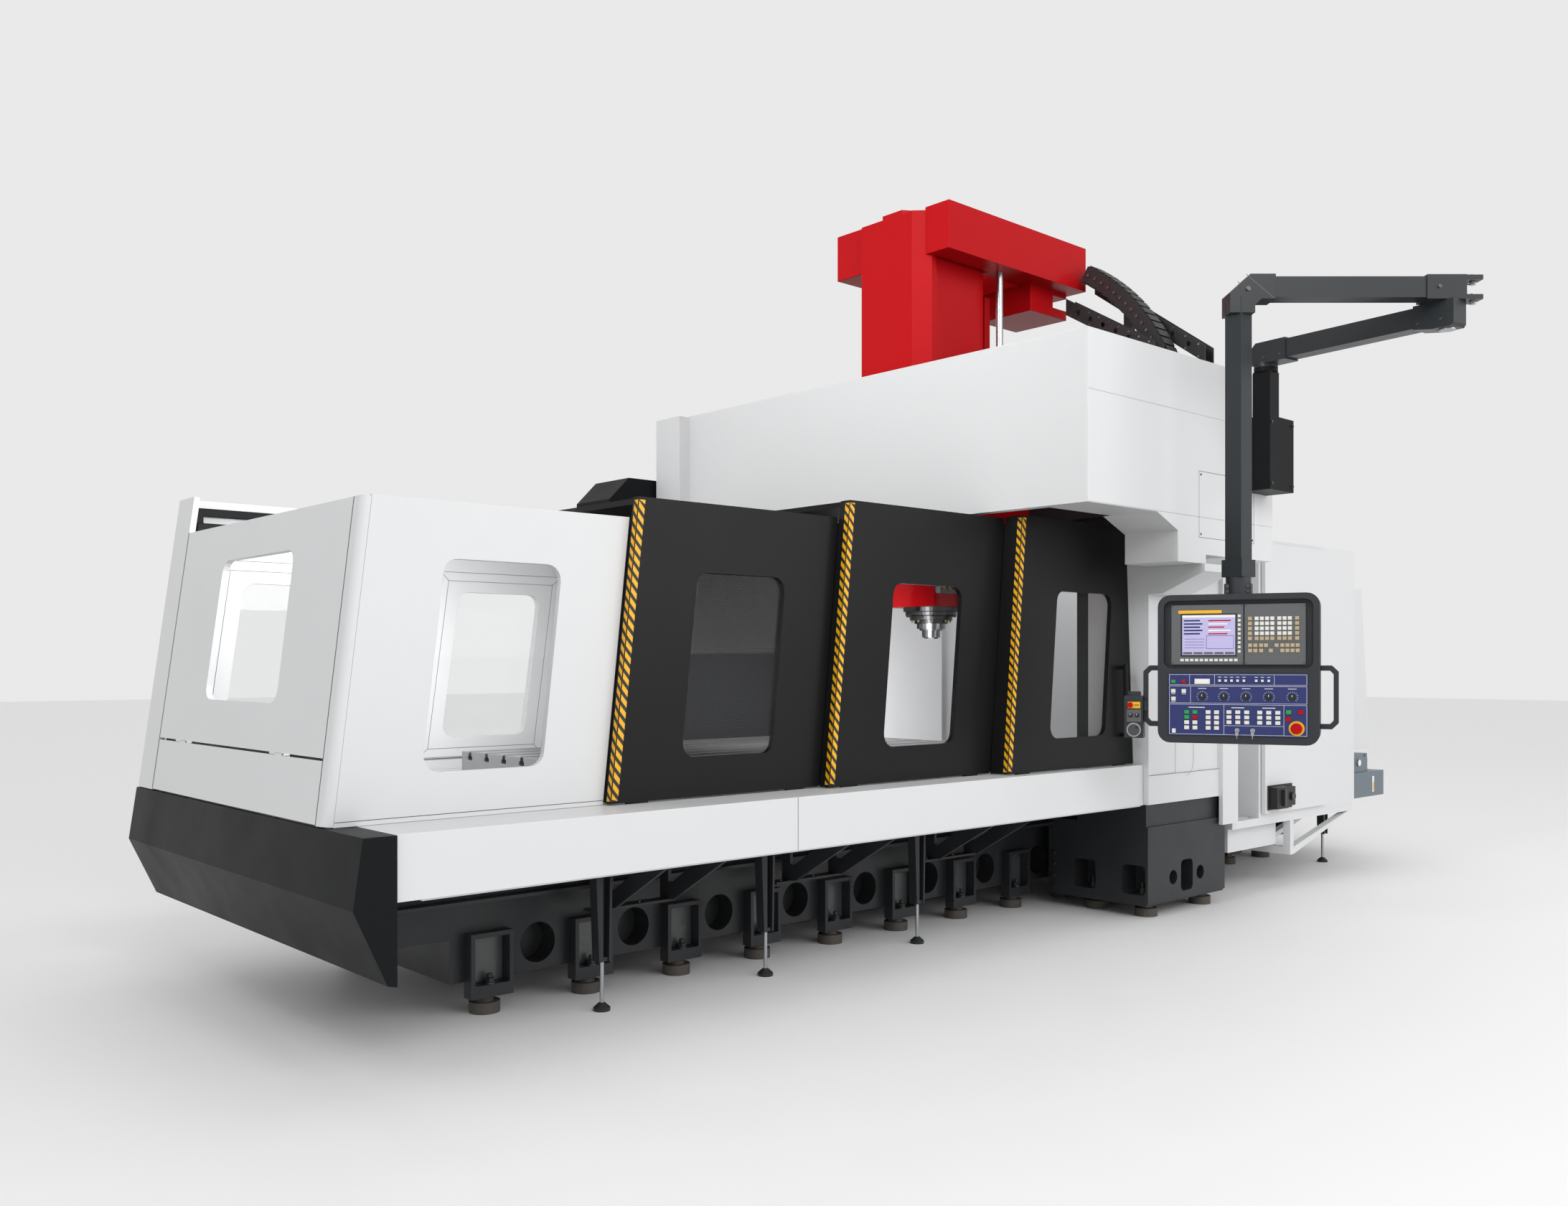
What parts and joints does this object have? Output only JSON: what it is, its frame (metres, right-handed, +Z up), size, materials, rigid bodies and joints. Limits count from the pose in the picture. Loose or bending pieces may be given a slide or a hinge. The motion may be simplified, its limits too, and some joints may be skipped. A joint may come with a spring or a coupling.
{
  "type": "gantry milling machine",
  "caption": "Large gantry milling machine with a moving table in a walled enclosure, sliding doors, a ram head on a covered crossbeam and a hanging control pendant.",
  "frame": {"origin": "on the floor, on the centreline of the bed, below the door line in front of the columns", "axes": "+X along the table travel from the front chute towards the columns and the rear, +Y across the machine away from the operator's side, +Z up"},
  "size_m": [9.58, 5.951, 4.785],
  "materials": {
    "painted_casting": "satin",
    "pad_iron": "rough",
    "white_paint": "satin",
    "dark_paint": "satin",
    "door_paint": "satin",
    "red_paint": "gloss",
    "cover_steel": "brushed",
    "table_iron": "machined",
    "bright_steel": "polished",
    "chain_plastic": "matte",
    "arm_paint": "satin",
    "pendant_shell": "textured",
    "unit_paint": "satin"
  },
  "bodies": {
    "frame": {"bed": "painted_casting", "levelling_pads": "pad_iron", "column_near": "painted_casting", "column_far": "painted_casting", "column_cover_near": "white_paint", "column_cover_far": "white_paint", "crossbeam": "painted_casting", "beam_cover": "white_paint", "apron_near": "white_paint", "apron_far": "white_paint", "side_wall_near": "white_paint", "side_wall_far": "white_paint", "far_panels": "door_paint", "front_wall": "white_paint", "front_chute": "dark_paint", "rear_walls": "white_paint", "rear_chute": "dark_paint", "roof_rails": "dark_paint", "apron_brackets": "painted_casting", "enclosure_legs": "painted_casting", "magazine_housing": "dark_paint", "end_cover_front": "cover_steel", "end_cover_rear": "cover_steel", "pendant_post": "dark_paint", "control_cabinet": "white_paint", "cabinet_frame": "white_paint", "lube_unit": "unit_paint"},
    "flap": {"access_flap": "white_paint"},
    "table": {"table": "table_iron", "table_cover_front": "cover_steel", "table_cover_rear": "cover_steel"},
    "front_cover": {"mid_cover_front": "cover_steel"},
    "rear_cover": {"mid_cover_rear": "cover_steel"},
    "saddle": {"saddle": "red_paint", "chain_trays": "chain_plastic", "energy_chain": "chain_plastic"},
    "ram": {"ram_tower": "red_paint", "ram_top_box": "red_paint", "spindle_head": "red_paint", "balance_rods": "bright_steel"},
    "spindle": {"spindle_nose": "bright_steel"},
    "near_door_1": {"door_near_1": "door_paint"},
    "near_door_2": {"door_near_2": "door_paint"},
    "near_door_3": {"door_near_3": "door_paint"},
    "lower_arm": {"lower_arm": "arm_paint"},
    "upper_arm": {"upper_arm": "arm_paint"},
    "pendant": {"pendant": "pendant_shell", "pendant_grips": "pendant_shell"},
    "cabinet_door": {"cabinet_door": "white_paint"}
  },
  "joints": [
    {"name": "flap_hinge", "type": "hinge", "parent": "frame", "child": "flap", "pos_m": [-4.56834, 0, 1.29139], "axis": [0, 1, 0], "range_deg": [0, 85]},
    {"name": "table_slide", "type": "slide", "parent": "frame", "child": "table", "axis": [1, 0, 0], "range_m": [0, 2.85]},
    {"name": "front_cover_slide", "type": "slide", "parent": "frame", "child": "front_cover", "axis": [1, 0, 0], "range_m": [0, 1.425]},
    {"name": "rear_cover_slide", "type": "slide", "parent": "frame", "child": "rear_cover", "axis": [1, 0, 0], "range_m": [0, 1.425]},
    {"name": "saddle_slide", "type": "slide", "parent": "frame", "child": "saddle", "axis": [0, 1, 0], "range_m": [-0.63, 1.07]},
    {"name": "ram_slide", "type": "slide", "parent": "saddle", "child": "ram", "axis": [0, 0, 1], "range_m": [-0.62, 0.25]},
    {"name": "spindle_spin", "type": "hinge", "parent": "ram", "child": "spindle", "pos_m": [0.2, -0.22, 1.95], "axis": [0, 0, 1], "continuous": true},
    {"name": "near_door_1_slide", "type": "slide", "parent": "frame", "child": "near_door_1", "axis": [-1, 0, 0], "range_m": [0, 1.32]},
    {"name": "near_door_2_slide", "type": "slide", "parent": "frame", "child": "near_door_2", "axis": [-1, 0, 0], "range_m": [0, 2.66]},
    {"name": "near_door_3_slide", "type": "slide", "parent": "frame", "child": "near_door_3", "axis": [-1, 0, 0], "range_m": [0, 4]},
    {"name": "lower_arm_swivel", "type": "hinge", "parent": "frame", "child": "lower_arm", "pos_m": [1.33, -2.13, 3.62], "axis": [0, 0, 1], "range_deg": [-10, 40]},
    {"name": "upper_arm_swivel", "type": "hinge", "parent": "lower_arm", "child": "upper_arm", "pos_m": [1.16578, -3.32881, 3.78], "axis": [0, 0, 1], "range_deg": [-12, 40]},
    {"name": "pendant_swivel", "type": "hinge", "parent": "upper_arm", "child": "pendant", "pos_m": [0.27083, -2.51446, 2.18], "axis": [0, 0, 1], "range_deg": [-90, 90]},
    {"name": "cabinet_hinge", "type": "hinge", "parent": "frame", "child": "cabinet_door", "pos_m": [3.258, -1.62, 1.5], "axis": [0, 0, 1], "range_deg": [0, 110]}
  ],
  "couplings": [
    {"joint": "front_cover_slide", "follows": "table_slide", "ratio": 0.5},
    {"joint": "rear_cover_slide", "follows": "table_slide", "ratio": 0.5}
  ]
}
